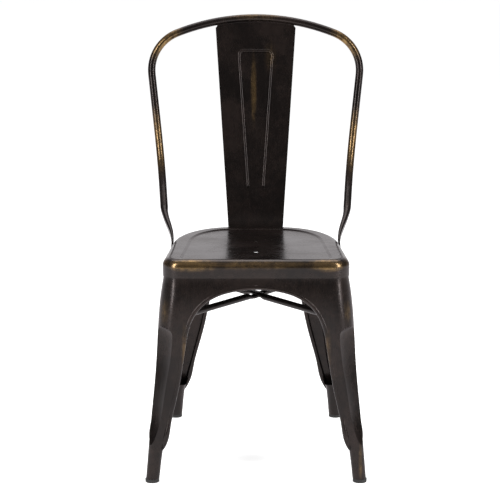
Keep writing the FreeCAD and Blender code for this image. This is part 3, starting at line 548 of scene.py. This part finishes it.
@dataclass
class Slat:
    """The tapered slat of the back."""

    streak_aside: float = -0.004
    streak_half: float = 0.009
    streak_low: float = 0.600
    streak_high: float = 0.800
    corner_half: float = 0.030
    corner_height: float = 0.765

    def finish(self) -> BronzeFinish:
        """Finish of the slat, with a rubbed streak in the middle and a painted copper highlight on
        a corner of the rib.
        """
        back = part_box("back_slat")[1].y
        middle = (self.streak_low + self.streak_high) / 2
        half = (self.streak_high - self.streak_low) / 2
        streak = (self.streak_aside, back - 0.03, middle)
        corner = (self.corner_half, back - 0.02, self.corner_height)
        return BronzeFinish("slat_bronze", spots=(
            WearAndHighlightSpot(streak, (self.streak_half, 0.08, half), 0.5, False),
            # The corner spot is a painted highlight on the rib, in copper.
            WearAndHighlightSpot(corner, (0.020, 0.060, 0.045), 0.22, False),
        ))

    def build(self) -> None:
        """Dress the slat."""
        dress("back_slat", self.finish().material())


@dataclass
class Brace:
    """The two crossed bars under the seat."""

    cloud: Colour = (0.017, 0.013, 0.011)
    roughness: float = 0.42

    def build(self) -> None:
        """Dress the bars."""
        material = BronzeFinish("brace_bronze", cloud=self.cloud, roughness=self.roughness,
                                grain=Grain.LENGTHWISE).material()
        for name in ("brace_bar_lower", "brace_bar_upper"):
            dress(name, material)


@dataclass
class Glides:
    """The rubber glides under the feet."""

    finish: RubberFinish = field(default_factory=RubberFinish)

    def build(self) -> None:
        """Dress the glides."""
        material = self.finish.material()
        for row in Row:
            for side in Side:
                dress(f"{row.value}_{side.name.lower()}_glide", material)


@dataclass
class WeldSeams:
    """The weld beads that join the slat to the hoop and to the seat."""

    radius: float = 0.0016
    points: int = 12
    hoop_radius: float = 0.4316
    hoop_steps: int = 60
    tube_radius: float = 0.0078
    lean: float = 0.17
    slat_half: float = 0.079
    set_forward: float = 0.0012
    foot_half: float = 0.0535
    foot_off: float = 0.0008
    foot_low: float = 0.002
    foot_high: float = 0.018
    foot_cuts: int = 9
    merge: float = 0.00001
    ripple: float = 0.0005
    ripple_size: float = 0.004
    smooth_angle: float = 50.0
    roughness: float = 0.36

    def finish_piece(self, name: str, steps: int) -> bpy.types.Object:
        """Round, ripple and smooth the bead that is being edited, and leave edit mode.

        Args:
            name: name of the finished piece.
            steps: cuts along the bead, for the ripples, or 0.

        Returns:
            The finished piece.
        """
        if steps:
            bpy.ops.mesh.select_all(action="SELECT")
            bpy.ops.mesh.subdivide(number_cuts=steps)
        bpy.ops.mesh.select_all(action="SELECT")
        bpy.ops.mesh.remove_doubles(threshold=self.merge)
        bpy.ops.mesh.normals_make_consistent(inside=False)
        bpy.ops.object.mode_set(mode="OBJECT")
        piece = bpy.context.active_object
        piece.name = name
        bpy.ops.object.transform_apply(location=True, rotation=True, scale=True)
        pattern = bpy.data.textures.new(name + "_ripple", "CLOUDS")
        pattern.noise_scale = self.ripple_size
        displace = piece.modifiers.new("ripple", "DISPLACE")
        displace.texture = pattern
        displace.strength = self.ripple
        bpy.ops.object.modifier_apply(modifier=displace.name)
        bpy.ops.object.shade_smooth_by_angle(angle=math.radians(self.smooth_angle))
        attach(piece, "root")
        return piece

    def start(self, place: Vector, along: Vector) -> None:
        """Add the bead's round end and go into edit mode.

        Args:
            place: middle of the end.
            along: direction in which the bead leaves it.
        """
        turn = along.to_track_quat("Z", "Y").to_euler()
        bpy.ops.object.select_all(action="DESELECT")
        bpy.ops.mesh.primitive_circle_add(vertices=self.points, radius=self.radius,
                                          fill_type="NGON", location=place, rotation=turn)
        bpy.ops.object.mode_set(mode="EDIT")
        bpy.ops.mesh.select_all(action="SELECT")

    def along_hoop(self) -> bpy.types.Object:
        """Bead between the slat's top edge and the hoop.

        Returns:
            The finished piece.
        """
        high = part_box("back_hoop")[1]
        up = Vector((0.0, self.lean, 1.0)).normalized()
        ahead = Vector((0.0, -1.0, self.lean)).normalized()
        crown = Vector((0.0, high.y - self.tube_radius, high.z - self.tube_radius))
        centre = crown - up * (self.hoop_radius + self.tube_radius) + ahead * self.set_forward
        half = math.asin(self.slat_half / self.hoop_radius)
        across = Vector((1.0, 0.0, 0.0))
        place = centre + (up * math.cos(half) - across * math.sin(half)) * self.hoop_radius
        along = across * math.cos(half) + up * math.sin(half)
        self.start(place, along)
        bpy.ops.mesh.spin(steps=self.hoop_steps, angle=2.0 * half, center=centre, axis=ahead)
        piece = self.finish_piece("weld_slat_to_hoop", 0)
        return piece

    def straight(self, name: str, start: Vector, end: Vector) -> bpy.types.Object:
        """Straight bead.

        Args:
            name: name of the piece.
            start: first end.
            end: other end.

        Returns:
            The finished piece.
        """
        self.start(start, (end - start).normalized())
        bpy.ops.mesh.extrude_region_move(TRANSFORM_OT_translate={"value": end - start})
        piece = self.finish_piece(name, self.foot_cuts)
        return piece

    def build(self) -> None:
        """Build and dress the beads."""
        material = BronzeFinish("weld_bronze", roughness=self.roughness).material()
        pieces = [self.along_hoop()]
        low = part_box("back_slat")[0].z
        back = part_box("seat_pan")[1].y + self.foot_off
        for side in Side:
            edge = side.value * self.foot_half
            pieces.append(self.straight(
                f"weld_slat_to_seat_{side.name.lower()}",
                Vector((edge, back, low + self.foot_low)),
                Vector((edge, back, low + self.foot_high))))
        for piece in pieces:
            piece.data.materials.append(material)
            log.info("built %s", piece.name)


@dataclass(frozen=True)
class Lamp:
    """A soft rectangular lamp."""

    name: str
    place: Place
    size: tuple[float, float]
    power: float
    target: Place = (0.0, 0.0, 0.45)

    def build(self) -> None:
        """Add the lamp, turned to its target."""
        data = bpy.data.lights.new(self.name, "AREA")
        data.shape = "RECTANGLE"
        data.size, data.size_y = self.size
        data.energy = self.power
        lamp = bpy.data.objects.new(self.name, data)
        bpy.context.scene.collection.objects.link(lamp)
        lamp.location = self.place
        away = Vector(self.target) - Vector(self.place)
        lamp.rotation_euler = away.to_track_quat("-Z", "Y").to_euler()


@dataclass
class Studio:
    """White floor, white surroundings and soft lamps."""

    floor_half: float = 12.0
    floor_glow: float = 0.78
    floor_grey: float = 0.80
    world_level: float = 0.38
    behind_range: tuple[float, float] = (0.55, 0.95)
    above_range: tuple[float, float] = (0.25, 0.95)
    low_level: float = 0.30
    lamps: tuple[Lamp, ...] = (
        Lamp("lamp_left", (-2.2, -1.9, 1.5), (0.45, 2.4), 60.0),
        Lamp("lamp_right", (2.2, -1.7, 1.5), (0.45, 2.4), 54.0),
        Lamp("lamp_top", (0.0, 0.9, 2.8), (2.6, 1.8), 52.0, (0.0, 0.1, 0.4)),
    )

    def floor(self) -> None:
        """Add the floor, which keeps the chair's shadow."""
        bpy.ops.object.select_all(action="DESELECT")
        bpy.ops.mesh.primitive_plane_add(size=2 * self.floor_half, location=(0.0, 0.0, 0.0))
        floor = bpy.context.active_object
        floor.name = "floor"
        made, graph = new_material("studio_floor")
        path = graph.add("ShaderNodeLightPath")
        diffuse = graph.add("ShaderNodeBsdfDiffuse")
        graph.feed(diffuse.inputs["Color"], (self.floor_grey,) * 3)
        glow = graph.add("ShaderNodeEmission")
        graph.feed(glow.inputs["Color"], WHITE)
        seen = graph.calc("MAXIMUM", path.outputs["Is Camera Ray"], graph.mirrored(path))
        graph.feed(glow.inputs["Strength"], graph.calc("MULTIPLY", seen, self.floor_glow))
        both = graph.add("ShaderNodeAddShader")
        graph.feed(both.inputs[0], diffuse.outputs[0])
        graph.feed(both.inputs[1], glow.outputs[0])
        graph.close(both)
        floor.data.materials.append(made)
        log.info("added floor")

    def world(self) -> None:
        """Set the surroundings: white to the camera, bright behind, dim in front."""
        world = bpy.data.worlds.new("studio")
        bpy.context.scene.world = world
        world.use_nodes = True
        graph = Graph(world.node_tree)
        direction = graph.add("ShaderNodeTexCoord").outputs["Generated"]
        parts = graph.add("ShaderNodeSeparateXYZ")
        graph.feed(parts.inputs[0], direction)
        behind = graph.ramp(parts.outputs[1], *self.behind_range)
        above = graph.ramp(parts.outputs[2], *self.above_range, self.low_level, 1.0)
        path = graph.add("ShaderNodeLightPath")
        lit = graph.calc("MULTIPLY", above, self.world_level)
        backdrop = graph.calc("MULTIPLY", behind, graph.mirrored(path))
        lit = graph.calc("MAXIMUM", lit, backdrop)
        seen = graph.calc("MAXIMUM", lit, path.outputs["Is Camera Ray"])
        background = graph.add("ShaderNodeBackground")
        graph.feed(background.inputs["Color"], WHITE)
        graph.feed(background.inputs["Strength"], seen)
        graph.close(background, "ShaderNodeOutputWorld")

    def build(self) -> None:
        """Add the floor, the surroundings and the lamps."""
        self.floor()
        self.world()
        for lamp in self.lamps:
            lamp.build()


@dataclass
class PhotoCamera:
    """Camera at the photograph's viewing angle."""

    aside: float = -0.0116
    distance: float = 4.2
    height: float = 1.318
    pitch: float = 11.62
    lens: float = 163.98
    sensor: float = 36.0

    def build(self) -> None:
        """Add the camera and make it the scene's camera."""
        low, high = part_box("front_left_glide")
        front_feet = (low.y + high.y) / 2
        data = bpy.data.cameras.new("photo_camera")
        data.sensor_width = self.sensor
        data.lens = self.lens
        camera = bpy.data.objects.new("photo_camera", data)
        bpy.context.scene.collection.objects.link(camera)
        camera.location = (self.aside, front_feet - self.distance, self.height)
        camera.rotation_euler = (math.radians(90.0 - self.pitch), 0.0, 0.0)
        bpy.context.scene.camera = camera


def main() -> None:
    """Build the chair's looks in order, then the studio and the camera."""
    logging.basicConfig(level=logging.INFO, format="%(message)s")
    for part in (Seat(), Legs(), Hoop(), Slat(), Brace(), Glides(), WeldSeams(), Studio(),
                 PhotoCamera()):
        part.build()
        log.info("built %s", type(part).__name__)
    bpy.context.scene.view_settings.view_transform = "Standard"


if __name__ == "__main__":
    main()
